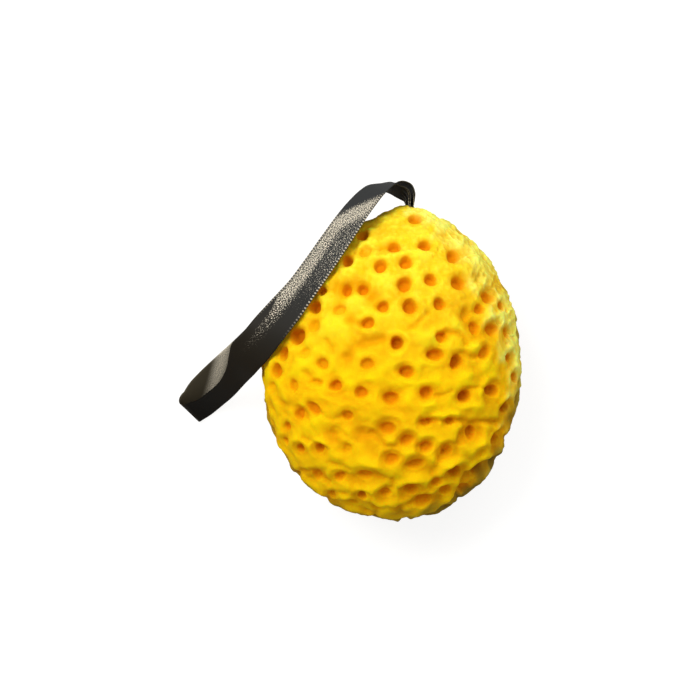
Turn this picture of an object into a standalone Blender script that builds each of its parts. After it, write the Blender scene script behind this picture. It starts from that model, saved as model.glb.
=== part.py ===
import math

import bpy
import numpy as np
from mathutils import Vector

# Sizes in millimetres, the tables below are in millimetres too
MM = 0.001
HALF_WIDTH = 51.4
HALF_DEPTH = 36.0
TIP_LENGTH = 68.0
BUTT_LENGTH = 57.6
PRESSED_FLAT = 2.2
TIP_LEAN = 6.6
REST_TO_MIDDLE = HALF_DEPTH - PRESSED_FLAT
RIBBON_THICKNESS = 0.4
RIBBON_STEPS = 3
LOOP_REACH_FAR = 4.0
LOOP_REACH_NEAR = 2.8
LOOP_STEPS = 8
SLOT_HALF = (2.15, 5.2, 3.1)
SLOT_CENTRE = (7.4, 64.4, 33.9)
SPONGE_FACES = 8200

# The pits of the upper side are placed as they show from straight above,
# from this point over the widest level
VIEW_POINT = (-16.6, 10.0)
VIEW_HEIGHT = 700.0

# Pits of the upper side: x, y, half width, half height, depth, turn in degrees
UPPER_PITS = [
    (9.6, 63.0, 3.2, 2.2, 2.0, -15), (-11.8, 56.2, 2.8, 2.8, 2.6, 0), (-10.6, 49.8, 3.2, 2.4, 1.5, 0),
    (1.2, 51.6, 2.8, 2.8, 2.4, 0), (13.4, 52.0, 2.6, 3.4, 2.4, 15), (25.0, 47.6, 3.2, 3.2, 2.4, 0),
    (20.2, 50.4, 2.0, 2.0, 0.6, 0), (-17.8, 46.0, 2.4, 2.6, 3.0, 0), (-4.6, 43.8, 2.8, 2.8, 2.4, 0),
    (5.8, 45.0, 2.8, 2.8, 2.4, 0), (5.2, 36.4, 3.2, 3.2, 2.6, 0), (15.8, 38.0, 2.8, 2.8, 2.4, 0),
    (27.0, 36.8, 3.2, 3.2, 2.6, 0), (35.8, 38.8, 2.4, 2.4, 1.0, 0), (39.4, 31.2, 2.4, 3.2, 2.4, 0),
    (35.8, 26.4, 2.0, 2.4, 2.2, 0), (30.2, 24.4, 2.0, 3.2, 1.0, 0), (44.6, 27.6, 1.2, 2.4, 2.0, 0),
    (-18.2, 34.4, 2.0, 2.8, 2.2, 0), (-11.8, 34.6, 2.4, 2.4, 2.2, 0), (-28.2, 34.0, 2.0, 2.0, 2.2, 0),
    (-31.0, 27.4, 2.4, 2.8, 3.0, 0), (-21.0, 26.2, 2.8, 2.4, 1.4, 0), (-3.4, 27.4, 2.6, 2.4, 2.2, 0),
    (7.4, 27.6, 3.2, 3.0, 2.6, 0), (19.4, 28.4, 2.8, 2.6, 2.4, 0), (-31.0, 19.6, 2.8, 2.8, 1.4, 0),
    (-38.2, 15.6, 3.2, 3.6, 3.2, 0), (-9.4, 20.8, 3.0, 2.4, 2.2, 0), (2.2, 12.8, 2.6, 3.0, 3.2, 0),
    (20.2, 15.2, 2.8, 2.8, 2.4, 0), (33.8, 18.8, 2.4, 2.8, 2.4, 0), (41.0, 18.0, 2.6, 2.8, 2.6, 0),
    (46.6, 16.8, 1.2, 2.8, 2.2, 0), (17.8, 8.0, 3.8, 2.8, 2.4, 0), (26.2, 5.2, 2.6, 3.2, 3.2, 0),
    (37.4, 8.8, 3.2, 2.4, 2.4, 45), (33.4, 7.2, 2.0, 2.0, 0.8, 0), (47.8, 6.8, 1.6, 2.0, 2.0, 0),
    (49.4, -1.2, 1.2, 2.4, 2.0, 0), (-43.8, 8.4, 2.0, 3.6, 2.6, 0), (-46.2, 1.6, 2.0, 3.2, 2.4, 0),
    (-48.2, -5.2, 1.6, 2.8, 1.2, 0), (-34.6, 8.8, 2.4, 2.4, 1.0, 0), (-27.8, 4.4, 2.6, 2.6, 2.4, 0),
    (-9.8, 4.4, 3.0, 2.6, 2.4, 0), (6.2, 1.2, 3.2, 2.8, 2.6, 0), (-39.0, -4.4, 1.6, 3.0, 2.4, 0),
    (-31.0, -3.2, 2.4, 1.6, 1.0, 0), (-22.6, -4.4, 2.8, 2.4, 2.4, 0), (-12.2, -7.2, 2.8, 2.8, 2.4, 0),
    (-0.2, -9.6, 3.6, 2.8, 2.6, 0), (14.2, -7.2, 3.0, 2.8, 2.6, 0), (29.8, -8.8, 2.6, 2.8, 3.2, 0),
    (40.6, -6.4, 2.8, 2.6, 3.0, 45), (46.2, -13.2, 2.4, 2.6, 3.0, 45),
    (-31.0, -13.6, 3.6, 2.4, 2.2, -30), (-37.4, -16.0, 1.8, 2.6, 2.2, 0),
    (-17.8, -16.4, 2.6, 2.4, 2.4, 0), (-42.2, -20.8, 2.2, 2.0, 2.2, 0), (-1.4, -21.6, 3.4, 2.8, 2.6, 0),
    (14.2, -19.2, 3.0, 2.0, 2.0, 0), (23.8, -18.8, 2.0, 1.8, 2.0, 0), (32.6, -23.6, 2.2, 2.8, 3.2, 0),
    (-10.6, -23.2, 4.2, 2.2, 2.2, 0), (-22.6, -22.8, 2.4, 2.0, 1.8, 30),
    (42.2, -26.4, 2.0, 2.4, 2.4, 0), (-42.6, -26.8, 2.8, 1.8, 2.0, 0), (-36.6, -29.6, 1.8, 2.2, 3.0, 0),
    (-29.0, -29.6, 1.8, 2.0, 3.0, 0), (-17.8, -29.6, 2.2, 2.4, 1.4, 0), (6.2, -26.4, 3.0, 2.4, 2.4, 30),
    (14.2, -29.2, 3.0, 2.4, 2.6, 0), (22.2, -30.4, 2.6, 2.6, 2.4, 0), (35.8, -31.2, 2.4, 2.4, 1.2, 0),
    (0.2, -34.0, 3.2, 2.2, 2.4, 0), (9.8, -36.0, 4.0, 2.2, 2.4, 0), (25.8, -39.2, 3.4, 2.2, 3.2, 0),
    (35.8, -38.4, 4.2, 2.8, 3.0, 0), (-10.6, -40.4, 3.8, 2.2, 2.4, 0), (-21.0, -41.2, 2.2, 2.2, 2.4, 0),
    (-30.2, -40.8, 4.4, 2.0, 2.0, 0), (18.2, -43.2, 3.0, 1.6, 2.2, 0), (21.8, -46.4, 2.8, 2.4, 2.4, 0),
    (29.8, -46.0, 2.6, 2.8, 2.6, 0), (7.8, -46.4, 3.2, 2.2, 2.6, 0), (-2.6, -47.6, 2.8, 1.4, 2.0, 0),
    (-11.8, -48.4, 2.2, 1.8, 3.0, 0), (13.0, -50.8, 4.0, 1.4, 2.0, 15),
    (-15.4, -51.6, 3.2, 1.4, 1.6, 0), (-23.8, -48.4, 2.8, 1.4, 1.6, 0),
]

# Wide soft hollows: x, y, half width, half height, depth
HOLLOWS = [
    (-15.0, 34.8, 7.6, 4.4, 1.2), (-3.0, 38.0, 4.5, 3.0, -0.7), (14.0, 15.6, 4.0, 3.2, -0.8),
    (-22.6, 18.8, 4.8, 4.0, -0.9), (-34.4, 4.0, 4.4, 3.4, -0.8), (-14.4, 28.4, 4.4, 2.8, -0.9),
    (30.2, 24.6, 3.6, 4.6, 1.0), (28.4, -24.6, 2.6, 3.4, 1.1), (-23.4, -24.4, 3.6, 3.0, 1.3),
    (-2.0, -54.4, 6.4, 3.6, -0.9), (30.2, 0.0, 4.8, 2.6, -0.7), (14.2, -12.0, 4.4, 2.4, -0.7),
    (-29.8, -19.2, 3.2, 4.0, -1.0), (-22.2, -31.6, 2.8, 3.2, -0.9), (-9.8, -36.0, 4.8, 2.6, -1.1),
    (-7.8, -32.0, 5.6, 2.8, 0.8), (-11.4, -24.2, 4.0, 2.4, 1.2), (9.4, -41.2, 4.4, 2.6, -1.1),
    (24.2, -35.6, 5.6, 2.4, -1.1), (33.0, -12.8, 4.4, 2.4, -0.9),
]

# Creases and one low ridge: points x, y along the middle, half width, depth
CREASES = [
    ([(-17.4, 7.8), (-16.0, 11.0), (-12.0, 12.8), (-3.0, 14.6)], 2.2, 1.2),
    ([(7.4, 18.8), (10.2, 20.4), (14.6, 25.2)], 1.5, 0.8),
    ([(22.2, 17.2), (26.6, 16.8), (30.2, 12.8)], 1.5, 0.9),
    ([(-46.2, -10.0), (-42.6, -11.6), (-36.6, -14.0)], 1.5, 0.7),
    ([(28.6, -18.4), (35.4, -18.8), (43.0, -19.2)], 1.4, 1.3),
    ([(22.2, -32.0), (19.4, -34.0), (16.6, -39.6)], 1.6, 1.0),
    ([(-37.0, -38.4), (-31.8, -38.8), (-25.4, -43.2)], 1.5, 1.0),
    ([(-7.8, -23.2), (-5.4, -26.0), (1.0, -28.8)], 1.5, 0.8),
    ([(3.4, -52.8), (12.2, -50.0), (19.4, -49.6)], 1.5, 1.1),
    ([(13.4, -16.8), (26.2, -16.0)], 1.3, -0.7),
]

# The rest of the skin carries pits of the same kind at the same spacing
PIT_SPACING = 8.8
PIT_SIZE = (2.2, 3.1)
PIT_DEPTH = (2.0, 3.0)
REST_CLEAR = 9.0
SEED = 11

# Ribbon, upper strand from inside the tip to the end of the loop:
# the far edge, then the near edge
UPPER_STRAND = [
    ((7.4, 59.8, 31.4), (8.7, 59.4, 36.4)),
    ((7.4, 64.6, 31.4), (8.7, 64.2, 36.4)),
    ((7.4, 68.1, 31.1), (9.0, 67.8, 36.7)),
    ((7.3, 70.1, 29.9), (9.2, 70.2, 38.3)),
    ((7.1, 72.1, 28.6), (9.1, 72.4, 40.5)),
    ((6.3, 73.9, 28.2), (7.9, 75.3, 41.9)),
    ((4.6, 74.8, 28.4), (5.4, 76.6, 42.8)),
    ((2.9, 75.6, 29.0), (3.2, 76.6, 43.8)),
    ((0.4, 77.4, 30.6), (1.2, 75.5, 45.3)),
    ((-4.2, 76.8, 32.2), (-1.7, 72.8, 46.6)),
    ((-9.2, 75.9, 34.2), (-4.1, 70.4, 47.8)),
    ((-12.5, 73.7, 36.0), (-6.0, 67.9, 49.0)),
    ((-16.2, 70.0, 38.9), (-8.2, 64.6, 51.1)),
    ((-20.9, 64.3, 42.4), (-11.5, 59.4, 53.2)),
    ((-27.4, 55.2, 46.0), (-17.6, 49.9, 56.0)),
    ((-34.0, 45.7, 48.6), (-23.7, 40.5, 58.2)),
    ((-40.4, 37.0, 50.4), (-29.3, 32.3, 59.6)),
    ((-47.1, 29.7, 51.6), (-35.7, 22.9, 59.0)),
    ((-53.5, 22.8, 51.0), (-42.1, 14.5, 56.3)),
    ((-59.0, 16.3, 51.4), (-49.0, 5.9, 47.8)),
    ((-62.7, 12.6, 50.4), (-51.9, 3.1, 43.6)),
    ((-64.0, 8.4, 47.4), (-54.5, 0.4, 39.4)),
    ((-65.7, 2.5, 40.0), (-58.9, -3.5, 28.2)),
    ((-69.3, -3.1, 31.4), (-64.4, -8.9, 18.4)),
    ((-74.7, -7.5, 23.3), (-69.9, -13.3, 10.3)),
    ((-79.3, -10.5, 16.9), (-74.9, -17.1, 4.2)),
    ((-83.0, -11.7, 14.9), (-78.3, -19.2, 2.6)),
]

# Under strand, likewise
UNDER_STRAND = [
    ((5.8, 59.8, 31.4), (7.1, 59.4, 36.4)),
    ((5.8, 64.6, 31.4), (7.1, 64.2, 36.4)),
    ((5.7, 67.8, 31.2), (7.3, 67.8, 36.8)),
    ((5.4, 69.0, 29.4), (7.3, 70.6, 37.6)),
    ((5.3, 69.9, 27.8), (7.0, 72.8, 38.8)),
    ((4.0, 70.7, 27.1), (5.7, 74.4, 39.5)),
    ((1.9, 71.8, 26.5), (3.5, 75.1, 40.1)),
    ((-0.0, 72.9, 26.9), (1.4, 75.3, 40.9)),
    ((-2.6, 73.9, 27.9), (-1.0, 73.7, 42.2)),
    ((-6.1, 74.9, 29.8), (-3.0, 71.6, 44.0)),
    ((-11.2, 73.4, 33.4), (-5.0, 69.0, 46.6)),
    ((-15.6, 69.4, 37.3), (-8.3, 64.3, 50.1)),
    ((-20.6, 64.0, 40.8), (-11.7, 59.2, 52.2)),
    ((-27.2, 54.9, 44.5), (-17.6, 49.8, 55.1)),
    ((-33.8, 45.4, 47.3), (-23.9, 40.3, 57.3)),
    ((-40.2, 36.8, 49.1), (-29.4, 32.2, 58.7)),
    ((-46.9, 29.5, 50.2), (-35.8, 22.7, 58.2)),
    ((-53.3, 22.6, 49.2), (-42.4, 14.3, 55.4)),
    ((-59.0, 16.6, 50.2), (-49.9, 6.3, 45.4)),
    ((-65.5, 11.1, 40.4), (-56.6, 1.8, 31.2)),
    ((-72.3, 5.7, 28.6), (-63.4, -4.0, 19.4)),
    ((-78.4, 0.6, 18.4), (-69.1, -9.4, 10.2)),
    ((-82.8, -3.8, 13.2), (-73.7, -13.7, 4.6)),
    ((-85.2, -7.4, 11.4), (-77.3, -16.9, 1.9)),
]


def clear_scene():
    for item in list(bpy.data.objects):
        bpy.data.objects.remove(item, do_unlink=True)


def collection(name):
    group = bpy.data.collections.get(name)
    if group is None:
        group = bpy.data.collections.new(name)
        bpy.context.scene.collection.children.link(group)
    return group


def move_to(item, group):
    for owner in list(item.users_collection):
        owner.objects.unlink(item)
    group.objects.link(item)


def material(name, colour, roughness):
    look = bpy.data.materials.new(name)
    look.use_nodes = True
    shader = look.node_tree.nodes["Principled BSDF"]
    shader.inputs["Base Color"].default_value = colour
    shader.inputs["Roughness"].default_value = roughness
    shader.inputs["Metallic"].default_value = 0.0
    look.diffuse_color = colour
    return look


def smooth_step(low, high, value):
    t = np.clip((value - low) / (high - low), 0.0, 1.0)
    return t * t * (3.0 - 2.0 * t)


def unit(rows):
    return rows / np.linalg.norm(rows, axis=-1, keepdims=True)


def read_points(mesh):
    flat = np.empty(len(mesh.vertices) * 3)
    mesh.vertices.foreach_get("co", flat)
    return flat.reshape(-1, 3)


def write_points(mesh, points):
    mesh.vertices.foreach_set("co", np.asarray(points, dtype=float).ravel())
    mesh.update()


def section(y):
    # Half width, half depth and sideways shift of the egg at a distance y from the widest level
    above = np.clip(y / TIP_LENGTH, 0.0, 1.0)
    below = np.clip(-y / BUTT_LENGTH, 0.0, 1.0)
    share = np.where(y >= 0.0, (1.0 - above ** 2.42) ** 0.75, (1.0 - below ** 2.1) ** 0.5)
    return share * HALF_WIDTH, share * HALF_DEPTH, TIP_LEAN * above ** 1.6


def egg(directions):
    # The egg's skin along unit directions from the middle of its widest level
    x, y, z = directions.T
    along = np.where(y >= 0.0, y * TIP_LENGTH, y * BUTT_LENGTH)
    width, depth, shift = section(along)
    ring = np.maximum(np.hypot(x, z), 1e-9)
    return np.stack([shift + width * x / ring, along, REST_TO_MIDDLE + depth * z / ring], axis=1)


def egg_normal(points):
    # Outward normal of the egg by finite steps on its equation
    def level(p):
        width, depth, shift = section(p[:, 1])
        width = np.maximum(width, 0.8)
        depth = np.maximum(depth, 0.6)
        across = (p[:, 0] - shift) / width
        up = (p[:, 2] - REST_TO_MIDDLE) / depth
        return np.hypot(across, up)
    step = 0.3
    slope = []
    for axis in np.eye(3):
        slope.append(level(points + axis * step) - level(points - axis * step))
    return unit(np.stack(slope, axis=1))


def plan(points):
    # Where points show from above, on the widest level
    reach = VIEW_HEIGHT / (VIEW_HEIGHT + REST_TO_MIDDLE - points[:, 2])
    eye = np.array(VIEW_POINT)
    return eye + (points[:, :2] - eye) * reach[:, None]


def on_skin(x, y):
    # The point of the upper skin that shows at plan position x, y
    z = REST_TO_MIDDLE
    for _ in range(40):
        share = (VIEW_HEIGHT + REST_TO_MIDDLE - z) / VIEW_HEIGHT
        px = VIEW_POINT[0] + (x - VIEW_POINT[0]) * share
        py = VIEW_POINT[1] + (y - VIEW_POINT[1]) * share
        width, depth, shift = section(np.array([py]))
        inside = 1.0 - ((px - shift[0]) / max(width[0], 0.5)) ** 2
        z += 0.5 * (REST_TO_MIDDLE + depth[0] * math.sqrt(max(inside, 0.0)) - z)
    return np.array([px, py, z])


def frame_of(point):
    normal = egg_normal(point[None])[0]
    outward = np.array([normal[0], normal[1], 0.0])
    outward /= max(np.linalg.norm(outward), 1e-9)
    tangent = np.array([-outward[1], outward[0], 0.0])
    return normal, np.cross(tangent, normal), tangent, outward


def upper_pits():
    pits = []
    for x, y, half_x, half_y, depth, turn in UPPER_PITS:
        point = on_skin(x, y)
        normal, downhill, level, outward = frame_of(point)
        angle = math.radians(turn)
        facing = max(normal[2], 0.12)

        def reach(direction):
            along = direction[0] * math.cos(angle) + direction[1] * math.sin(angle)
            aside = direction[1] * math.cos(angle) - direction[0] * math.sin(angle)
            return 1.0 / math.hypot(along / half_x, aside / half_y)

        if facing > 0.8:
            first = np.array([math.cos(angle), math.sin(angle), 0.0])
            first = unit(first - normal * np.dot(first, normal))
            pits.append((point, normal, first, np.cross(normal, first), half_x, half_y, depth))
        else:
            side = reach(level)
            fall = min(reach(outward) / facing, side * 1.25)
            pits.append((point, normal, downhill, level, max(fall, side * 0.8), side, depth))
    return pits


def shown_from_above(point, normal):
    # The stretch of skin that shows from above and isn't under the ribbon
    sight = np.array([VIEW_POINT[0], VIEW_POINT[1], VIEW_HEIGHT + REST_TO_MIDDLE]) - point
    facing = np.dot(normal, sight) / np.linalg.norm(sight)
    x, y = plan(point[None])[0]
    under_ribbon = (x + 49.0) * 67.0 - (y - 5.0) * 45.0 < 0.0
    return facing > 0.14 and not under_ribbon


def other_pits(pits):
    # A golden angle spiral over the rest of the skin, thinned to the spacing
    rng = np.random.default_rng(SEED)
    count = 3200
    index = np.arange(count)
    y = 1.0 - 2.0 * (index + 0.5) / count
    ring = np.sqrt(1.0 - y * y)
    angle = index * math.pi * (3.0 - math.sqrt(5.0))
    points = egg(np.stack([ring * np.cos(angle), y, ring * np.sin(angle)], axis=1))
    normals = egg_normal(points)
    slot = np.array(SLOT_CENTRE)
    taken = [pit[0] for pit in pits]
    found = []
    for k in rng.permutation(count):
        point = points[k]
        if shown_from_above(point, normals[k]):
            continue
        if math.hypot(point[0], point[1]) < REST_CLEAR and point[2] < REST_TO_MIDDLE:
            continue
        if np.linalg.norm((point - slot) * (1.0, 0.6, 1.0)) < 7.5:
            continue
        if min(np.linalg.norm(other - point) for other in taken) < PIT_SPACING:
            continue
        taken.append(point)
        size = rng.uniform(*PIT_SIZE)
        stretch = rng.uniform(0.86, 1.16)
        depth = rng.uniform(*PIT_DEPTH)
        normal, downhill, level, _ = frame_of(point)
        found.append((point, normal, downhill, level, size * stretch, size / stretch, depth))
    return found


def away_from_line(spots, line):
    best = np.full(len(spots), 1e9)
    for a, b in zip(np.array(line[:-1]), np.array(line[1:])):
        run = b - a
        share = np.clip((spots - a) @ run / np.dot(run, run), 0.0, 1.0)
        gap = np.linalg.norm(spots - a - share[:, None] * run, axis=1)
        best = np.minimum(best, gap)
    return best


def foam_skin(points):
    # Pits sunk along the egg's own normals, with the skin drawn in a little round each one
    normals = egg_normal(points)
    shift = np.zeros_like(points)
    pits = upper_pits()
    pits += other_pits(pits)
    for point, normal, first, second, half_a, half_b, depth in pits:
        rest = points - point
        close = np.linalg.norm(rest, axis=1) < 9.0
        near = rest[close]
        rho = np.hypot(near @ first / half_a, near @ second / half_b)
        core = 1.0 - smooth_step(0.62, 1.22, rho)
        halo = np.exp(-(rho / 1.5) ** 2) * 0.2 * depth
        lip = np.exp(-((rho - 1.4) / 0.25) ** 2) * 0.15
        shift[close] -= normal * (core * depth)[:, None]
        shift[close] -= normals[close] * (halo - lip)[:, None]
    spots = plan(points)
    upper = smooth_step(-0.1, 0.2, normals[:, 2])
    for x, y, half_x, half_y, depth in HOLLOWS:
        rho = np.hypot((spots[:, 0] - x) / half_x, (spots[:, 1] - y) / half_y)
        shift -= normals * (np.exp(-rho ** 2) * depth * upper)[:, None]
    for line, half, depth in CREASES:
        gap = away_from_line(spots, line)
        shift -= normals * (np.exp(-(gap / half) ** 2) * depth * upper)[:, None]
    x, y, z = points.T
    lumps = np.sin(x * 0.21 + 1.0) * np.sin(y * 0.19 - 0.4) + np.sin(y * 0.27 + z * 0.17)
    shift += normals * (lumps * 0.22)[:, None]
    return points + shift


def make_sponge(group, cutters):
    bpy.ops.mesh.primitive_ico_sphere_add(subdivisions=7, radius=1.0)
    blank = bpy.context.object
    write_points(blank.data, foam_skin(egg(unit(read_points(blank.data)))) * MM)
    thin = blank.modifiers.new("thin", "DECIMATE")
    thin.ratio = SPONGE_FACES / len(blank.data.polygons)
    bpy.context.view_layer.update()
    mesh = bpy.data.meshes.new_from_object(blank.evaluated_get(bpy.context.evaluated_depsgraph_get()))
    bpy.data.objects.remove(blank, do_unlink=True)
    # The foam lies on its side, pressed flat where it rests
    points = read_points(mesh)
    points[points[:, 2] < 0.1 * MM, 2] = 0.0
    write_points(mesh, points)
    mesh.shade_smooth()
    mesh.set_sharp_from_angle(angle=math.radians(50.0))
    sponge = bpy.data.objects.new("sponge", mesh)
    mesh.name = "sponge"
    group.objects.link(sponge)
    mesh.materials.clear()
    mesh.materials.append(material("yellow_foam", (0.91, 0.55, 0.012, 1.0), 0.75))

    bpy.ops.mesh.primitive_cube_add(size=2.0, location=Vector(SLOT_CENTRE) * MM)
    slot = bpy.context.object
    slot.name = "slot_cutter"
    write_points(slot.data, read_points(slot.data) * np.array(SLOT_HALF) * MM)
    slot.hide_render = True
    slot.display_type = "WIRE"
    move_to(slot, cutters)
    cut = sponge.modifiers.new("ribbon slot", "BOOLEAN")
    cut.operation = "DIFFERENCE"
    cut.solver = "EXACT"
    cut.object = slot
    return sponge


def run_through(rows, steps):
    # A smooth line through every row, with steps between neighbours
    rows = np.array(rows, dtype=float)
    middle = (rows[:, :3] + rows[:, 3:]) / 2.0
    length = np.sqrt(np.linalg.norm(np.diff(middle, axis=0), axis=1))
    slope = np.diff(rows, axis=0) / length[:, None]
    tangent = np.empty_like(rows)
    tangent[0] = slope[0]
    tangent[-1] = slope[-1]
    for i in range(1, len(rows) - 1):
        ahead = slope[i] * length[i - 1]
        behind = slope[i - 1] * length[i]
        tangent[i] = (ahead + behind) / (length[i - 1] + length[i])
    line = []
    for i in range(len(rows) - 1):
        for k in range(steps):
            u = k / steps
            pull = (u ** 3 - 2 * u ** 2 + u) * tangent[i] + (u ** 3 - u ** 2) * tangent[i + 1]
            place = (2 * u ** 3 - 3 * u ** 2 + 1) * rows[i] + (3 * u ** 2 - 2 * u ** 3) * rows[i + 1]
            line.append(place + pull * length[i])
    line.append(rows[-1])
    return np.array(line)


def ribbon_edges():
    upper = run_through([far + near for far, near in UPPER_STRAND], RIBBON_STEPS)
    under = run_through([far + near for far, near in UNDER_STRAND], RIBBON_STEPS)[::-1]
    leaving = unit((upper[-1] - upper[-2])[:3] + (upper[-1] - upper[-2])[3:])
    coming = unit((under[0] - under[1])[:3] + (under[0] - under[1])[3:])
    outward = unit(leaving + coming)
    turn = []
    for k in range(1, LOOP_STEPS):
        angle = math.pi * k / LOOP_STEPS
        middle = (upper[-1] + under[0]) / 2.0
        half = (upper[-1] - under[0]) / 2.0
        reach = np.concatenate([outward * LOOP_REACH_FAR, outward * LOOP_REACH_NEAR])
        turn.append(middle + half * math.cos(angle) + reach * math.sin(angle))
    rows = np.vstack([upper, np.array(turn), under])
    return rows[:, :3], rows[:, 3:]


def make_ribbon(group):
    far, near = ribbon_edges()
    lengthwise = len(far) - 1
    bpy.ops.mesh.primitive_grid_add(x_subdivisions=lengthwise, y_subdivisions=2, size=2.0)
    ribbon = bpy.context.object
    ribbon.name = "ribbon_loop"
    ribbon.data.name = "ribbon_loop"
    grid = read_points(ribbon.data)
    station = np.rint((grid[:, 0] + 1.0) / 2.0 * lengthwise).astype(int)
    across = ((grid[:, 1] + 1.0) / 2.0)[:, None]
    write_points(ribbon.data, (far[station] * (1.0 - across) + near[station] * across) * MM)
    body = ribbon.modifiers.new("thickness", "SOLIDIFY")
    body.thickness = RIBBON_THICKNESS * MM
    body.offset = 0.0
    body.use_even_offset = True
    ribbon.data.shade_smooth()
    ribbon.data.materials.append(material("black_satin", (0.021, 0.017, 0.013, 1.0), 0.45))
    move_to(ribbon, group)
    return ribbon


def main():
    clear_scene()
    group = collection("honeycomb_bath_sponge")
    cutters = collection("cutters")
    make_sponge(group, cutters)
    make_ribbon(group)


main()
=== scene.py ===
import math

import bpy
import numpy as np
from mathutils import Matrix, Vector


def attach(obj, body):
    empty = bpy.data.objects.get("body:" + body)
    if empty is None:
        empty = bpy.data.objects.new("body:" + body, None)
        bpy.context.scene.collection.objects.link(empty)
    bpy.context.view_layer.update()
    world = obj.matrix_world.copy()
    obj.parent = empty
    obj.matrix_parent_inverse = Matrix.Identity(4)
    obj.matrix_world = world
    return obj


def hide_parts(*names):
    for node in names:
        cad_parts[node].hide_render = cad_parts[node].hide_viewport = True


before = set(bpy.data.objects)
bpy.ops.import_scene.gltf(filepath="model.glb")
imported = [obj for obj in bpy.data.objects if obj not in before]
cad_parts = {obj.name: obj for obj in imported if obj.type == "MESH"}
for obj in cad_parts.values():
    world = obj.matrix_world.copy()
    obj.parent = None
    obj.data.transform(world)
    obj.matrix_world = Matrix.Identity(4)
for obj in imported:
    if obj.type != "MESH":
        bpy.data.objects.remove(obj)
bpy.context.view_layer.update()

mm = 0.001               # lengths below are in millimetres unless a note says otherwise
restToMiddle = 33.8      # the sponge's widest level over the floor
white = (1.0, 1.0, 1.0, 1.0)


# camera: straight above, as far away as a hand-held shot

cameraValues = {
    "over": (-16.6, 10.0),      # the point straight below the lens
    "height": 700.0,            # over the widest level
    "lens": 90.0,
    "sensor": 36.0,
    "nearest": 10.0,
    "farthest": 20000.0,
}


def makeCamera():
    lens = bpy.data.cameras.new("camera")
    lens.lens = cameraValues["lens"]
    lens.sensor_width = cameraValues["sensor"]
    lens.clip_start = cameraValues["nearest"] * mm
    lens.clip_end = cameraValues["farthest"] * mm
    eye = bpy.data.objects.new("camera", lens)
    x, y = cameraValues["over"]
    eye.location = Vector((x, y, cameraValues["height"] + restToMiddle)) * mm
    bpy.context.scene.collection.objects.link(eye)
    bpy.context.scene.camera = eye
    print("camera placed")


makeCamera()


# light: one large softbox over the upper left, a smaller one beyond the tip, a weak low one on the right
# and an even white room

lightValues = {
    "key": {"place": (-450.0, 440.0, 840.0), "size": 560.0, "watts": 7.0, "colour": (1.0, 0.985, 0.95)},
    "fill": {"place": (300.0, 720.0, 620.0), "size": 420.0, "watts": 2.0, "colour": (1.0, 0.99, 0.97)},
    "side": {"place": (560.0, 360.0, 170.0), "size": 240.0, "watts": 0.3, "colour": (1.0, 1.0, 1.0)},
    "room": 0.47,
}


def makeLights():
    for name in ("key", "fill", "side"):
        values = lightValues[name]
        lamp = bpy.data.lights.new(name, "AREA")
        lamp.shape = "SQUARE"
        lamp.size = values["size"] * mm
        lamp.energy = values["watts"]
        lamp.color = values["colour"]
        holder = bpy.data.objects.new(name, lamp)
        holder.location = Vector(values["place"]) * mm
        aim = Vector((0.0, 0.0, restToMiddle)) * mm - holder.location
        holder.rotation_euler = aim.to_track_quat("-Z", "Y").to_euler()
        bpy.context.scene.collection.objects.link(holder)
    room = bpy.data.worlds.new("room")
    room.use_nodes = True
    background = room.node_tree.nodes["Background"]
    background.inputs["Color"].default_value = white
    background.inputs["Strength"].default_value = lightValues["room"]
    bpy.context.scene.world = room
    bpy.context.scene.view_settings.view_transform = "Standard"
    print("lights placed")


makeLights()


# small helpers for meshes and points

def smoothStep(low, high, value):
    t = np.clip((value - low) / (high - low), 0.0, 1.0)
    return t * t * (3.0 - 2.0 * t)


def unit(rows):
    return rows / np.linalg.norm(rows, axis=-1, keepdims=True)


def readPoints(mesh):
    flat = np.empty(len(mesh.vertices) * 3)
    mesh.vertices.foreach_get("co", flat)
    return flat.reshape(-1, 3)


def writePoints(mesh, points):
    mesh.vertices.foreach_set("co", np.asarray(points, dtype=float).ravel())
    mesh.update()


def softNoise(points, wave, seed):
    # crossing waves of about one length, in every direction: mean 0, spread about 1
    waves = 20
    rng = np.random.default_rng(seed)
    total = np.zeros(len(points))
    for _ in range(waves):
        heading = unit(rng.normal(size=3))
        length = wave * rng.uniform(0.7, 1.4)
        total += np.sin(points @ heading * (2.0 * math.pi / length) + rng.uniform(0.0, 6.28))
    return total * math.sqrt(2.0 / waves)


# small helpers for materials

def newMaterial(name):
    look = bpy.data.materials.new(name)
    look.use_nodes = True
    return look, look.node_tree, look.node_tree.nodes["Principled BSDF"]


def addNode(tree, kind, **values):
    # nodes are laid out in rows of ten
    count = len(tree.nodes)
    item = tree.nodes.new(kind)
    item.location = (220 * (count % 10), -280 * (count // 10))
    for key, value in values.items():
        setattr(item, key, value)
    return item


def setInputs(item, values):
    for name, value in values.items():
        item.inputs[name].default_value = value


def joinUp(tree, *pairs):
    for source, target in pairs:
        tree.links.new(source, target)


def feed(tree, socket, value):
    # a link where the value is a socket, or else a fixed value
    if isinstance(value, bpy.types.NodeSocket):
        tree.links.new(value, socket)
    else:
        socket.default_value = value


def mixColours(tree, share, first, second):
    item = addNode(tree, "ShaderNodeMix", data_type="RGBA")
    feed(tree, item.inputs["Factor"], share)
    feed(tree, item.inputs[6], first)       # 6, 7 and the output 2 are the node's colour sockets
    feed(tree, item.inputs[7], second)
    return item.outputs[2]


def mathStep(tree, operation, first, second=0.0, third=0.0):
    item = addNode(tree, "ShaderNodeMath", operation=operation)
    for socket, value in zip(item.inputs, (first, second, third)):
        feed(tree, socket, value)
    return item.outputs[0]


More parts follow.
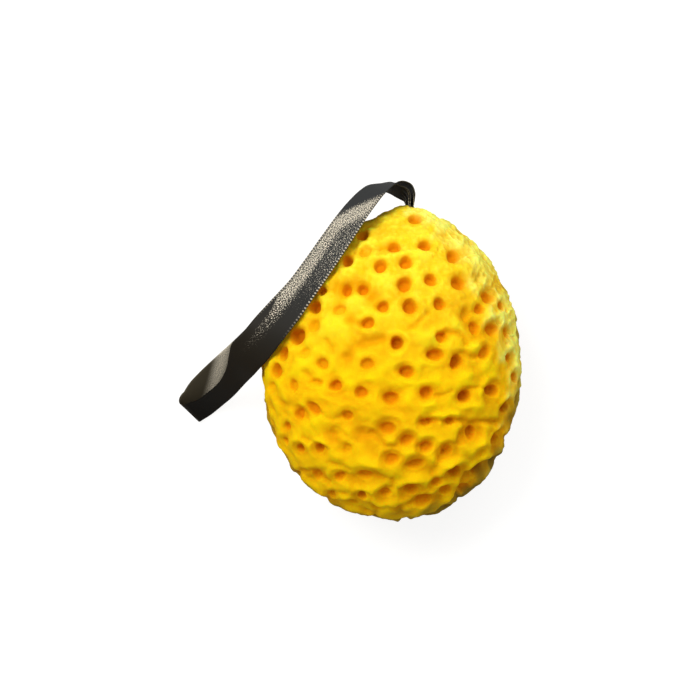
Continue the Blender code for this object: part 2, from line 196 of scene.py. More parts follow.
def rangeOf(tree, value, fromLow, fromHigh, toLow=0.0, toHigh=1.0):
    item = addNode(tree, "ShaderNodeMapRange", interpolation_type="SMOOTHSTEP")
    tree.links.new(value, item.inputs["Value"])
    setInputs(item, {"From Min": fromLow, "From Max": fromHigh, "To Min": toLow, "To Max": toHigh})
    return item.outputs["Result"]


def makeGrainGroup():
    # fine grain of foam and satin: a soft mottle, a finer grain and a height made of both
    group = bpy.data.node_groups.new("fineGrain", "ShaderNodeTree")
    group.interface.new_socket("Vector", in_out="INPUT", socket_type="NodeSocketVector")
    for name, default in (("Mottle Size", 6.0), ("Grain Size", 0.6), ("Roughen", 0.6)):
        socket = group.interface.new_socket(name, in_out="INPUT", socket_type="NodeSocketFloat")
        socket.default_value = default
    for name in ("Mottle", "Grain", "Height"):
        group.interface.new_socket(name, in_out="OUTPUT", socket_type="NodeSocketFloat")
    start = addNode(group, "NodeGroupInput")
    end = addNode(group, "NodeGroupOutput")
    mottleScale = mathStep(group, "DIVIDE", 1.0, start.outputs["Mottle Size"])
    grainScale = mathStep(group, "DIVIDE", 1.0, start.outputs["Grain Size"])
    mottle = addNode(group, "ShaderNodeTexNoise")
    mottle.inputs["Detail"].default_value = 3.0
    grain = addNode(group, "ShaderNodeTexNoise")
    grain.inputs["Detail"].default_value = 2.0
    fine = mathStep(group, "MULTIPLY", grain.outputs["Fac"], 0.7)
    soft = mathStep(group, "MULTIPLY", mottle.outputs["Fac"], 0.3)
    height = mathStep(group, "ADD", fine, soft)
    joinUp(
        group,
        (start.outputs["Vector"], mottle.inputs["Vector"]),
        (start.outputs["Vector"], grain.inputs["Vector"]),
        (mottleScale, mottle.inputs["Scale"]),
        (grainScale, grain.inputs["Scale"]),
        (start.outputs["Roughen"], grain.inputs["Roughness"]),
        (mottle.outputs["Fac"], end.inputs["Mottle"]),
        (grain.outputs["Fac"], end.inputs["Grain"]),
        (height, end.inputs["Height"]),
    )
    return group


grainGroup = makeGrainGroup()


def addGrain(tree, shader, where, values):
    # the group at a material's own sizes, its height also felt as a bump
    grain = addNode(tree, "ShaderNodeGroup", node_tree=grainGroup)
    setInputs(grain, {"Mottle Size": values["mottle"], "Grain Size": values["grain"]})
    bump = addNode(tree, "ShaderNodeBump")
    setInputs(bump, {"Strength": values["grainStrength"], "Distance": values["grainHeight"] * mm})
    joinUp(
        tree,
        (where, grain.inputs["Vector"]),
        (grain.outputs["Height"], bump.inputs["Height"]),
        (bump.outputs["Normal"], shader.inputs["Normal"]),
    )
    return grain


# floor: a plain white table top

floorValues = {
    "half": 1500.0,
    "colour": (0.32, 0.32, 0.315, 1.0),
    "roughness": 0.7,
    "shine": 0.2,
    "glow": 0.80,               # light of its own, which only the camera sees
}


def makeFloor():
    bpy.ops.mesh.primitive_plane_add(size=2.0 * floorValues["half"] * mm)
    floor = bpy.context.object
    floor.name = "floor"
    look, tree, shader = newMaterial("whiteTable")
    setInputs(shader, {
        "Base Color": floorValues["colour"],
        "Roughness": floorValues["roughness"],
        "Specular IOR Level": floorValues["shine"],
        "Emission Color": white,
    })
    ray = addNode(tree, "ShaderNodeLightPath")
    glow = mathStep(tree, "MULTIPLY", ray.outputs["Is Camera Ray"], floorValues["glow"])
    joinUp(tree, (glow, shader.inputs["Emission Strength"]))
    floor.data.materials.append(look)
    print("floor laid")


makeFloor()


# sponge: an egg of soft foam, pressed flat where it lies, pitted all over

spongeValues = {
    # the egg
    "halfWidth": 51.4,
    "halfDepth": 36.0,
    "tipLength": 68.0,
    "buttLength": 57.6,
    "tipCurve": (2.42, 0.75),   # powers that round off the narrow end
    "buttCurve": (2.1, 0.5),    # and the blunt end
    "tipLean": 6.6,             # how far the tip lies to the right
    "leanCurve": 1.6,
    "detail": 9,                # icosphere level that the skin is worked out on
    "quickDetail": 8,
    "faces": 196000,            # what the finished mesh keeps

    # pits of the sides that don't show from above
    "seed": 11,
    "placesTried": 3200,
    "pitSpacing": 8.8,
    "pitSize": (2.2, 3.1),
    "pitStretch": (0.86, 1.16),
    "pitDepth": (2.0, 3.0),
    "restClear": 9.0,           # radius without pits where the foam is pressed flat
    "slotCentre": (7.4, 64.4, 33.9),
    "slotClear": 7.5,
    "lensFacing": 0.14,         # least facing that counts as shown
    "ribbonSide": ((-49.0, 5.0), (45.0, 67.0)),     # the ribbon's edge from above: a point, a direction

    # the form of every pit, for the tip end and for the blunt end
    "core": (1.10, 0.75),       # depth of a pit's core against the solid's
    "wall": ((0.55, 0.98), (0.38, 1.08)),   # where its wall starts and ends, in shares of its radius
    "funnel": 0.20,             # how far the skin round a pit of the tip end is drawn in, against its depth
    "scoop": 0.55,              # likewise of the blunt end, where the hollow runs away from the tip
    "lip": (0.10, 0.14),        # raised rim round a pit
    "lobes": ((2.0, 0.05), (3.0, 0.04)),    # waves round a pit's outline: how many, how high
    "lobeSeed": 5,
    "pitReach": 11.0,           # nothing further away is shaped by a pit
    "bluntFrom": (4.0, -24.0),  # y over which the tip's form gives way to the blunt end's
    "flankFrom": (15.0, 40.0),  # x over which it does so on the right, by the share below
    "flankShare": 0.8,
    "toLight": (-0.5, 0.86, 0.0),
    "tintShift": 0.14,          # how far a pit's painted shade lies towards the light, in radii
    "tintEdge": (0.46, 1.14),
    "tintDepth": (0.9, 2.1),    # depths over which a pit gets its painted shade
    "deepDepth": (2.5, 3.1),    # and its deeper painted shade

    # uneven skin; a noise is its wave length, its seed and its height
    "relief": 1.6,              # hollows, mounds and creases against their tables
    "upperSide": (-0.3, 0.0),   # how far down the sides the tables reach, as the normal's height
    "lowLeft": (0.42, (0.0, -26.0), (-2.0, -16.0)),     # share by which it is calmer there, x, y
    "dents": (6.5, 22, 0.24),
    "dimples": (3.6, 25, 0.08),
    "knobs": (8.0, 26, 0.30),   # at the blunt end
    "knobsFrom": (-30.0, -52.0),
    "bubbles": (8.5, 51, 1.0),  # on the right flank
    "bubbleWall": 0.3,
    "bubbleHeight": 0.30,
    "rough": (2.2, 23, 1.0),
    "roughHeights": (0.02, 0.05, 0.05),     # everywhere, more at the tip, more on the right flank
    "fine": (1.2, 24, 0.02),
    "lumps": 0.22,
    "swells": (12.0, 21, 0.28),

    # where the colours and the painted light and shade lie
    "tipFrom": (-5.0, 62.0),
    "flankEdge": (-3.0, 6.0),   # distance past the edge of the painted sheen
    "flankWaver": (7.0, 31, 2.0),
    "raisedFrom": (-0.1, 0.7),
    "raisedPale": (-42.0, 12.0),    # y over which the painted light on ridges reaches full strength
    "foldFrom": (-0.15, 1.35),
    "specks": (1.9, 41, 1.0),
    "speckGroups": (4.0, 42, 0.6),
    "specksFrom": (-0.2, 1.3),
    "cracks": (2.6, 43, 1.0),
    "crackGroups": (9.0, 44, 0.5),
    "cracksFrom": (1.0, 2.0),

    # shade of the lower edge: strength, way round towards the lower right, upper fade, lower fade
    "shadeRight": (0.88, (0.55, 0.95), (0.60, 0.16), (-1.0, 0.1)),
    "shadeBelow": (0.75, (-0.1, 0.5), (0.36, 0.0), (-0.9, 0.0)),
    "shadeRound": (0.55, 0.35, (0.22, 0.0), (-0.6, 0.0)),   # strength, less at the tip, the two fades
    "shadeWaver": (8.0, 61, 0.05),
    "shadeSway": (16.0, 62, 0.05),
    "brownShadeHalf": 0.6,           # half width of the thin painted brown shade left of the tip
    "brownShadeShare": 0.6,

    # colours: the skin and its random gold mottle, then painted light, sheen and shade over it
    "skin": (0.97, 0.56, 0.002, 1.0),
    # painted light on the ridges
    "ridge": (0.98, 0.67, 0.002, 1.0),
    # gold of the random mottle, and the painted shade in the folds
    "hollow": (0.80, 0.37, 0.001, 1.0),
    # painted highlight at the tip
    "lemon": (0.99, 0.83, 0.045, 1.0),
    # painted sheen on the right flank
    "flankSheen": (0.94, 0.90, 0.15, 1.0),
    # painted shade in the folds of the right flank, also the colour of the olive cracks near the tip
    "oliveShadeAndCracks": (0.78, 0.53, 0.03, 1.0),
    # painted shade in the pits
    "pitFloor": (0.74, 0.25, 0.0005, 1.0),
    # deeper painted shade in the deep pits
    "pitDeep": (0.62, 0.185, 0.0004, 1.0),
    "shade": (0.165, 0.108, 0.013, 1.0),
    "mottle": 0.009,            # in metres, as the object's own coordinates are
    "grain": 0.0011,
    "grainStrength": 0.35,
    "grainHeight": 0.4,
    "roughness": 0.8,
    "shine": 0.04,
    "softness": 0.35,           # light that passes through the skin
    "softRadius": (1.0, 0.4, 0.05),
    "softDepth": 2.5,
}

# masks of the skin and their colours, from the bottom layer up: painted light on ridges, painted shade in
# folds, a painted highlight at the tip, a painted sheen on the right flank, painted shade in the flank's
# folds with olive cracks, painted shade in pits and deeper in deep pits, painted shade along the lower edge
foamLayers = [
    ("raised", "ridge"), ("foldShade", "hollow"), ("tipHighlight", "lemon"), ("flankSheen", "flankSheen"), ("oliveShadeAndCracks", "oliveShadeAndCracks"),
    ("pitShade", "pitFloor"), ("deepPitShade", "pitDeep"), ("shade", "shade"),
]

# pits of the upper side as they show from above: x, y, half width, half height, depth, turn in degrees
upperPits = [
    (9.6, 63.0, 3.4, 2.4, 2.0, -15), (-11.8, 56.2, 2.8, 2.8, 2.6, 0), (-10.6, 49.8, 3.2, 2.4, 1.5, 0),
    (1.2, 51.6, 2.8, 2.8, 2.4, 0), (13.4, 52.0, 2.7, 3.5, 2.4, 15), (25.0, 47.6, 3.2, 3.2, 2.4, 0),
    (20.2, 50.4, 2.0, 2.0, 0.6, 0), (-17.8, 46.0, 2.4, 2.6, 3.0, 0), (-4.6, 43.8, 2.8, 2.8, 2.4, 0),
    (5.8, 45.0, 2.8, 2.8, 2.4, 0), (5.2, 36.4, 3.2, 3.2, 2.6, 0), (15.8, 38.0, 2.8, 2.8, 2.4, 0),
    (27.0, 36.8, 3.2, 3.2, 2.6, 0), (35.8, 38.8, 2.4, 2.4, 1.0, 0), (39.4, 31.2, 2.4, 3.2, 2.4, 0),
    (35.8, 26.4, 2.0, 2.4, 2.2, 0), (30.2, 24.4, 2.0, 3.2, 1.0, 0), (44.6, 27.6, 1.2, 2.4, 2.0, 0),
    (-18.2, 34.4, 2.0, 2.8, 2.2, 0), (-11.8, 34.6, 2.4, 2.4, 2.2, 0), (-28.2, 34.0, 2.0, 2.0, 2.2, 0),
    (-31.0, 27.4, 2.4, 2.8, 3.0, 0), (-21.0, 26.2, 2.8, 2.4, 1.4, 0), (-3.4, 27.4, 2.6, 2.4, 2.2, 0),
    (7.4, 27.6, 3.2, 3.0, 2.6, 0), (19.4, 28.4, 2.8, 2.6, 2.4, 0), (-31.0, 19.6, 2.8, 2.8, 0.8, 0),
    (-38.2, 15.6, 3.2, 3.6, 3.2, 0), (-9.4, 20.8, 3.0, 2.4, 2.2, 0), (2.2, 12.8, 2.6, 3.0, 3.2, 0),
    (20.2, 15.2, 2.8, 2.8, 2.4, 0), (33.8, 18.8, 2.4, 2.8, 2.4, 0), (41.0, 18.0, 2.6, 2.8, 2.6, 0),
    (46.6, 16.8, 1.2, 2.8, 2.2, 0), (17.8, 8.0, 3.8, 2.8, 2.4, 0), (26.2, 5.2, 2.6, 3.2, 3.2, 0),
    (37.4, 8.8, 3.2, 2.4, 2.4, 45), (33.4, 7.2, 2.0, 2.0, 0.8, 0), (47.8, 6.8, 1.6, 2.0, 2.0, 0),
    (49.4, -1.2, 1.2, 2.4, 2.0, 0), (-43.8, 8.4, 2.0, 3.6, 2.6, 0), (-46.2, 1.6, 2.0, 3.2, 2.4, 0),
    (-48.2, -5.2, 1.6, 2.8, 1.2, 0), (-34.6, 8.8, 2.4, 2.4, 1.0, 0), (-27.8, 4.4, 2.6, 2.6, 1.7, 0),
    (-9.8, 4.4, 3.0, 2.6, 1.7, 0), (6.2, 1.2, 3.2, 2.8, 2.6, 0), (-39.0, -4.4, 1.6, 3.0, 1.6, 0),
    (-31.0, -3.2, 2.4, 1.6, 1.0, 0), (-22.6, -4.4, 2.8, 2.4, 2.4, 0), (-12.2, -7.2, 2.8, 2.8, 2.4, 0),
    (-0.2, -9.6, 3.6, 2.8, 2.6, 0), (14.2, -7.2, 3.0, 2.8, 2.6, 0), (29.8, -8.8, 2.6, 2.8, 3.2, 0),
    (40.6, -6.4, 2.8, 2.6, 3.0, 45), (46.2, -13.2, 2.4, 2.6, 3.0, 45),
    (-31.0, -13.6, 3.6, 2.4, 2.2, -30), (-37.4, -16.0, 1.8, 2.6, 2.2, 0),
    (-17.8, -16.4, 2.6, 2.4, 2.4, 0), (-42.2, -20.8, 2.2, 2.0, 2.2, 0), (-1.4, -21.6, 3.4, 2.8, 2.6, 0),
    (14.2, -19.2, 3.0, 2.0, 2.0, 0), (23.8, -18.8, 2.0, 1.8, 2.0, 0), (32.6, -23.6, 2.2, 2.8, 3.2, 0),
    (-10.6, -23.2, 4.4, 2.8, 1.2, 0), (-22.6, -22.8, 2.8, 2.6, 1.2, 30),
    (42.2, -26.4, 2.0, 2.4, 2.4, 0), (-42.6, -26.8, 2.8, 1.8, 2.0, 0), (-36.6, -29.6, 1.8, 2.2, 3.0, 0),
    (-29.0, -29.6, 1.8, 2.0, 3.0, 0), (-17.8, -29.6, 2.2, 2.4, 1.4, 0), (6.2, -26.4, 3.0, 2.4, 2.4, 30),
    (14.2, -29.2, 3.0, 2.4, 2.6, 0), (22.2, -30.4, 2.6, 2.6, 2.4, 0), (35.8, -31.2, 2.4, 2.4, 1.2, 0),
    (0.2, -34.0, 3.2, 2.2, 2.4, 0), (9.8, -36.0, 4.0, 2.2, 2.4, 0), (25.8, -39.2, 3.4, 2.2, 3.2, 0),
    (35.8, -38.4, 4.2, 2.8, 3.0, 0), (-10.6, -40.4, 3.8, 2.2, 2.4, 0), (-21.0, -41.2, 2.2, 2.2, 2.4, 0),
    (-30.2, -40.8, 4.4, 2.0, 2.0, 0), (18.2, -43.2, 3.0, 1.6, 2.2, 0), (21.8, -46.4, 2.8, 2.4, 2.4, 0),
    (29.8, -46.0, 2.6, 2.8, 2.6, 0), (7.8, -46.4, 3.2, 2.2, 2.6, 0), (-2.6, -47.6, 2.8, 1.4, 2.0, 0),
    (-11.8, -48.4, 2.2, 1.8, 3.0, 0), (13.0, -50.8, 4.0, 1.4, 2.0, 15),
    (-15.4, -51.6, 3.2, 1.4, 1.6, 0), (-23.8, -48.4, 2.8, 1.4, 1.6, 0),
]

# wide soft hollows and mounds: x, y, half width, half height, depth
hollows = [
    (-15.0, 34.8, 7.6, 4.4, 1.0), (-3.0, 38.0, 4.4, 3.2, -0.5), (14.0, 15.6, 4.0, 3.2, -0.6),
    (-22.6, 18.8, 4.8, 4.0, -0.7), (-34.4, 4.0, 4.4, 3.4, -0.6), (-14.4, 28.4, 4.4, 2.8, -0.7),
    (30.2, 24.6, 3.6, 4.6, 0.7), (28.4, -24.6, 2.4, 3.4, 0.8), (-23.4, -24.4, 3.6, 3.0, 1.0),
    (-2.0, -54.4, 6.4, 3.6, -0.7), (-27.4, 10.0, 3.2, 2.4, -0.5), (-9.8, -1.2, 3.6, 1.8, -0.5),
    (-4.6, 39.2, 3.6, 1.8, -0.4), (33.0, 11.2, 2.8, 1.6, -0.6), (8.6, -3.6, 4.4, 2.0, -0.5),
    (30.2, 0.0, 4.8, 2.4, -0.5), (14.2, -12.0, 4.4, 2.0, -0.5), (-2.6, 23.2, 5.6, 1.6, -0.4),
    (26.2, 19.6, 3.2, 2.4, -0.5), (-29.8, -19.2, 3.2, 4.0, -0.8), (-22.2, -31.6, 2.8, 3.2, -0.7),
    (-29.0, -36.8, 3.6, 1.6, -0.6), (-16.6, -35.2, 3.6, 2.4, -0.6), (-17.4, -22.0, 2.4, 2.0, -0.6),
    (-9.8, -36.0, 4.8, 2.4, -0.8), (-7.8, -32.0, 5.6, 2.8, 0.6), (-11.4, -24.2, 4.0, 2.2, 1.0),
    (0.2, -38.4, 4.0, 2.0, -0.6), (7.8, -30.8, 3.2, 2.0, -0.6), (9.4, -41.2, 4.4, 2.4, -0.8),
    (-0.2, -26.4, 3.2, 1.6, -0.5), (15.4, -33.2, 2.4, 2.4, -0.6), (-0.6, -51.2, 2.8, 2.0, -0.6),
    (14.2, -52.8, 4.4, 1.6, -0.6), (35.4, -27.6, 2.4, 2.0, -0.7), (25.4, -23.2, 2.4, 2.8, -0.6),
    (32.6, -31.6, 2.4, 2.0, -0.5), (38.2, -32.4, 2.8, 2.4, -0.6), (24.2, -35.6, 5.6, 2.0, -0.8),
    (24.6, -43.6, 2.4, 1.2, -0.5), (14.2, -24.4, 3.6, 2.4, -0.5), (33.0, -12.8, 4.4, 2.0, -0.7),
    (-47.0, -15.6, 2.4, 2.0, -0.4), (-10.2, -44.8, 4.0, 2.0, -0.6), (38.2, 2.8, 3.2, 2.8, -0.4),
    (6.2, -55.2, 2.8, 1.2, 0.9), (-42.6, -12.0, 3.6, 1.6, 0.5), (-36.6, -22.8, 2.8, 2.4, -0.5),
    (44.5, 37.0, 6.0, 6.0, 0.6), (49.0, -18.8, 4.0, 3.6, 0.9), (27.0, -51.5, 5.0, 4.5, -0.9),
    (13.0, -57.5, 7.0, 4.5, -0.9), (-9.5, -56.5, 3.6, 4.0, 0.6), (-23.5, -52.5, 4.0, 4.0, 0.6),
    (-50.0, -18.6, 3.6, 4.4, 0.5), (-31.4, 19.6, 2.8, 3.8, 0.8), (1.6, -59.6, 4.0, 3.8, 0.6),
]

# creases and one low ridge: points along the middle, half width, depth
creases = [
    ([(-17.4, 7.8), (-16.0, 11.0), (-12.0, 12.8), (-3.0, 14.6)], 2.2, 0.9),
    ([(7.4, 18.8), (10.2, 20.4), (14.6, 25.2)], 1.4, 0.7),
    ([(22.2, 17.2), (26.6, 16.8), (29.0, 15.2), (30.2, 12.8)], 1.4, 0.8),
    ([(-46.2, -10.0), (-42.6, -11.6), (-36.6, -14.0)], 1.5, 0.6),
    ([(28.6, -18.4), (31.4, -19.2), (35.4, -18.8), (39.4, -18.8), (43.0, -19.2)], 1.4, 1.2),
    ([(22.2, -32.0), (19.4, -34.0), (18.2, -36.8), (16.6, -39.6)], 1.6, 0.9),
    ([(13.4, -16.8), (18.2, -16.4), (26.2, -16.0)], 1.2, -0.6),
    ([(15.0, -18.4), (21.0, -18.4), (27.0, -18.0)], 1.0, 0.5),
    ([(-36.6, -13.6), (-34.2, -16.8), (-32.6, -20.0), (-31.0, -22.0)], 1.1, 0.6),
    ([(-28.2, -15.2), (-26.2, -17.2), (-23.4, -18.0), (-20.6, -16.8)], 1.0, 0.6),
    ([(-35.4, -25.2), (-31.8, -26.4), (-27.8, -28.4), (-25.8, -29.6)], 1.1, 0.6),
    ([(-19.4, -23.2), (-17.0, -25.6), (-13.8, -26.4)], 1.2, 0.6),
    ([(-24.6, -34.8), (-20.6, -36.4), (-16.6, -38.0)], 1.1, 0.5),
    ([(-37.0, -38.4), (-31.8, -38.8), (-29.4, -40.8), (-25.4, -43.2)], 1.2, 1.0),
    ([(-16.2, -42.8), (-15.0, -45.6)], 1.0, 0.5),
    ([(-7.8, -23.2), (-5.4, -26.0), (-2.2, -28.8), (1.0, -28.8)], 1.2, 0.7),
    ([(3.4, -52.8), (7.0, -51.6), (12.2, -50.0), (19.4, -49.6)], 1.2, 1.1),
    ([(-6.6, -53.6), (-1.4, -52.4), (3.4, -54.4)], 1.1, 0.9),
    ([(29.8, -20.4), (28.2, -23.2), (27.0, -27.2)], 1.2, 0.8),
    ([(40.2, -26.4), (42.6, -24.0), (45.0, -22.0)], 1.2, 0.9),
    ([(30.6, -40.4), (29.0, -43.2), (27.8, -45.6)], 1.3, 0.8),
    ([(17.8, -8.4), (21.0, -8.0), (24.2, -6.4)], 0.9, 0.4),
    ([(30.6, -5.2), (35.4, -5.2), (39.8, -5.6)], 0.8, 0.4),
    ([(-25.8, 14.0), (-24.2, 11.2), (-23.4, 9.2)], 0.9, 0.4),
    ([(-34.6, 1.2), (-32.2, -1.6), (-28.6, -3.2)], 1.2, 0.6),
    ([(-24.6, -8.0), (-21.4, -8.0), (-18.2, -6.4)], 1.0, 0.4),
    ([(-6.2, 51.2), (-1.8, 52.4)], 1.0, 0.4),
    ([(-11.0, 28.0), (-6.2, 27.6)], 1.2, 0.4),
    ([(-16.6, 21.6), (-12.2, 20.4)], 1.4, 0.4),
    ([(28.2, 8.8), (31.4, 7.6), (34.2, 7.2)], 1.3, 0.5),
    ([(0.6, -42.0), (0.6, -45.2), (3.8, -46.0)], 1.0, 0.5),
    ([(-5.8, -40.4), (-0.6, -42.0)], 1.2, 0.5),
    ([(-39.4, -41.0), (-35.0, -38.4)], 1.3, 0.7),
    ([(-27.0, -50.4), (-23.4, -46.8), (-19.0, -47.6)], 1.2, 0.8),
    ([(-7.0, -57.4), (-5.4, -53.8), (-8.6, -51.4)], 1.2, 0.7),
    ([(28.8, -52.0), (26.2, -48.6), (24.4, -49.6)], 1.2, 0.8),
    ([(42.6, -33.4), (38.2, -35.4), (32.2, -39.6), (28.6, -43.6), (26.2, -47.6)], 1.5, 0.9),
    ([(45.8, -24.8), (42.2, -27.6), (40.6, -31.0)], 1.2, 0.7),
]

# where the painted sheen of the right flank begins, seen from above: y, x, from the tip down
sheenEdge = [
    (66.0, 5.0), (62.0, 10.5), (56.0, 17.0), (52.0, 22.5), (45.0, 27.5), (38.0, 32.0), (28.0, 38.0),
    (15.0, 42.5), (0.0, 46.0), (-15.0, 47.5), (-30.0, 45.5), (-45.0, 39.0),
]

# a thin painted brown shade along the skin's edge left of the tip
brownShadeEdge = [
    (-16.0, 57.6), (-11.4, 60.8), (-8.0, 62.2), (-4.6, 64.0), (-0.6, 65.4), (2.6, 66.8), (5.4, 67.4),
]


def within(name, value):
    return smoothStep(*spongeValues[name], value)


def noiseOf(name, points):
    wave, seed, height = spongeValues[name]
    return height * softNoise(points, wave, seed)


def section(y):
    # half width, half depth and sideways shift of the egg at a distance y from the widest level
    values = spongeValues
    above = np.clip(y / values["tipLength"], 0.0, 1.0)
    below = np.clip(-y / values["buttLength"], 0.0, 1.0)
    tipInner, tipOuter = values["tipCurve"]
    buttInner, buttOuter = values["buttCurve"]
    share = np.where(y >= 0.0, (1.0 - above ** tipInner) ** tipOuter, (1.0 - below ** buttInner) ** buttOuter)
    lean = values["tipLean"] * above ** values["leanCurve"]
    return share * values["halfWidth"], share * values["halfDepth"], lean


def egg(directions):
    x, y, z = directions.T
    along = np.where(y >= 0.0, y * spongeValues["tipLength"], y * spongeValues["buttLength"])
    width, depth, shift = section(along)
    ring = np.maximum(np.hypot(x, z), 1e-9)
    return np.stack([shift + width * x / ring, along, restToMiddle + depth * z / ring], axis=1)


def eggNormal(points):
    # by small steps to both sides; the floors keep the very tip from dividing by nothing
    def level(p):
        width, depth, shift = section(p[:, 1])
        across = (p[:, 0] - shift) / np.maximum(width, 0.8)
        up = (p[:, 2] - restToMiddle) / np.maximum(depth, 0.6)
        return np.hypot(across, up)
    step = 0.3
    slope = []
    for axis in np.eye(3):
        slope.append(level(points + axis * step) - level(points - axis * step))
    return unit(np.stack(slope, axis=1))


def plan(points):
    # where points show from above, on the widest level
    reach = cameraValues["height"] / (cameraValues["height"] + restToMiddle - points[:, 2])
    eye = np.array(cameraValues["over"])
    return eye + (points[:, :2] - eye) * reach[:, None]


def onSkin(x, y):
    # the point of the upper skin that shows at plan position x, y, found in small steps
    z = restToMiddle
    eyeX, eyeY = cameraValues["over"]
    for _ in range(40):
        share = (cameraValues["height"] + restToMiddle - z) / cameraValues["height"]
        px = eyeX + (x - eyeX) * share
        py = eyeY + (y - eyeY) * share
        width, depth, shift = section(np.array([py]))
        inside = 1.0 - ((px - shift[0]) / max(width[0], 0.5)) ** 2
        z += 0.5 * (restToMiddle + depth[0] * math.sqrt(max(inside, 0.0)) - z)
    return np.array([px, py, z])


def frameOf(point):
    # normal, downhill and level directions of the skin, and the way out in plan
    normal = eggNormal(point[None])[0]
    outward = np.array([normal[0], normal[1], 0.0])
    outward /= max(np.linalg.norm(outward), 1e-9)
    level = np.array([-outward[1], outward[0], 0.0])
    return normal, np.cross(level, normal), level, outward


def placeUpperPits():
    # each pit as point, normal, two directions, two half sizes and depth, sized to show as its table says
    pits = []
    faceOn, edgeOn = 0.8, 0.12      # facing from which both half sizes hold, and the least allowed for
    longest, shortest = 1.25, 0.8   # of a pit on the sides: its fall against its width
    for x, y, halfX, halfY, depth, turn in upperPits:
        point = onSkin(x, y)
        normal, downhill, level, outward = frameOf(point)
        angle = math.radians(turn)
        facing = max(normal[2], edgeOn)

        def reach(direction):
            along = direction[0] * math.cos(angle) + direction[1] * math.sin(angle)
            aside = direction[1] * math.cos(angle) - direction[0] * math.sin(angle)
            return 1.0 / math.hypot(along / halfX, aside / halfY)

        if facing > faceOn:
            ahead = np.array([math.cos(angle), math.sin(angle), 0.0])
            fallX = math.hypot(1.0, (ahead[0] * normal[0] + ahead[1] * normal[1]) / facing)
            fallY = math.hypot(1.0, (ahead[0] * normal[1] - ahead[1] * normal[0]) / facing)
            first = unit(ahead - normal * np.dot(ahead, normal))
            pits.append((point, normal, first, np.cross(normal, first), halfX * fallX, halfY * fallY, depth))
        else:
            side = reach(level)
            fall = min(reach(outward) / facing, side * longest)
            pits.append((point, normal, downhill, level, max(fall, side * shortest), side, depth))
    return pits


def shownFromAbove(point, normal):
    # the stretch of skin that shows from above and isn't under the ribbon
    eye = np.array([*cameraValues["over"], cameraValues["height"] + restToMiddle])
    sight = eye - point
    facing = np.dot(normal, sight) / np.linalg.norm(sight)
    x, y = plan(point[None])[0]
    (edgeX, edgeY), (runX, runY) = spongeValues["ribbonSide"]
    underRibbon = (x - edgeX) * runY - (y - edgeY) * runX < 0.0
    return facing > spongeValues["lensFacing"] and not underRibbon


def placeOtherPits(pits):
    # a golden angle spiral over the rest of the skin, thinned to the spacing
    values = spongeValues
    rng = np.random.default_rng(values["seed"])
    count = values["placesTried"]
    index = np.arange(count)
    y = 1.0 - 2.0 * (index + 0.5) / count
    ring = np.sqrt(1.0 - y * y)
    angle = index * math.pi * (3.0 - math.sqrt(5.0))
    points = egg(np.stack([ring * np.cos(angle), y, ring * np.sin(angle)], axis=1))
    normals = eggNormal(points)
    slot = np.array(values["slotCentre"])
    taken = [pit[0] for pit in pits]
    found = []
    for k in rng.permutation(count):
        point = points[k]
        if shownFromAbove(point, normals[k]):
            continue
        if math.hypot(point[0], point[1]) < values["restClear"] and point[2] < restToMiddle:
            continue
        if np.linalg.norm((point - slot) * (1.0, 0.6, 1.0)) < values["slotClear"]:
            continue
        if min(np.linalg.norm(other - point) for other in taken) < values["pitSpacing"]:
            continue
        taken.append(point)
        size = rng.uniform(*values["pitSize"])
        stretch = rng.uniform(*values["pitStretch"])
        depth = rng.uniform(*values["pitDepth"])
        normal, downhill, level, _ = frameOf(point)
        found.append((point, normal, downhill, level, size * stretch, size / stretch, depth))
    return found


def alongLine(spots, line, half):
    # 1 on a line of points, fading over its half width
    away = np.full(len(spots), 1e9)
    for a, b in zip(np.array(line[:-1]), np.array(line[1:])):
        run = b - a
        share = np.clip((spots - a) @ run / np.dot(run, run), 0.0, 1.0)
        away = np.minimum(away, np.linalg.norm(spots - a - share[:, None] * run, axis=1))
    return np.exp(-(away / half) ** 2)


def tipHollow(rho):
    # round a pit of the tip end, by distance in radii: a funnel, and a raised ring further out
    funnel = 0.7 * (1.0 - smoothStep(0.75, 1.45, rho)) + 0.3 * np.exp(-(rho / 2.2) ** 2)
    ring = np.exp(-((rho - 1.6) / 0.3) ** 2)
    return funnel * spongeValues["funnel"], ring * spongeValues["lip"][0]


def bluntHollow(up, aside):
    # round a pit of the blunt end: a scoop that runs away from the tip, and an arched ledge over it
    arch = np.hypot(up + 0.45, aside)
    scoop = smoothStep(2.2, 1.3, arch) * smoothStep(-2.7, 0.9, up)
    ledge = np.exp(-((arch - 2.35) / 0.4) ** 2) * smoothStep(-0.2, 1.2, up)
    return scoop * spongeValues["scoop"], ledge * spongeValues["lip"][1]


